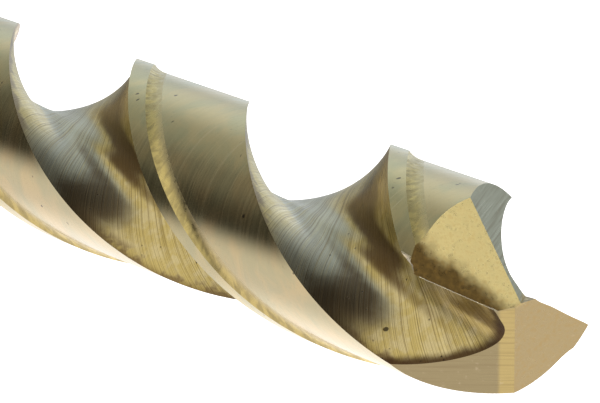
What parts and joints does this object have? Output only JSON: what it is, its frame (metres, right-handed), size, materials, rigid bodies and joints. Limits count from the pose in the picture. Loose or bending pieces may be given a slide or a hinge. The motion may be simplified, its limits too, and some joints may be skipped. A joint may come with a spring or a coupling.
{
  "type": "twist drill",
  "caption": "Straight-shank right-hand twist drill with a fluted body and a thinned multi-facet point, for drilling metal.",
  "frame": {"origin": "centre of the shank's flat end face", "axes": "+Z along the drill's axis, from the shank end to the point; +X towards the outer corner of one cutting lip"},
  "size_m": [0.013, 0.013, 0.151],
  "materials": {
    "cutting_body": "ground, with a straw-gold tempering oxide",
    "shank": "cylindrically ground, with a straw-gold tempering oxide"
  },
  "bodies": {
    "root": {"cutting_body": "cutting_body", "shank": "shank"}
  },
  "joints": []
}
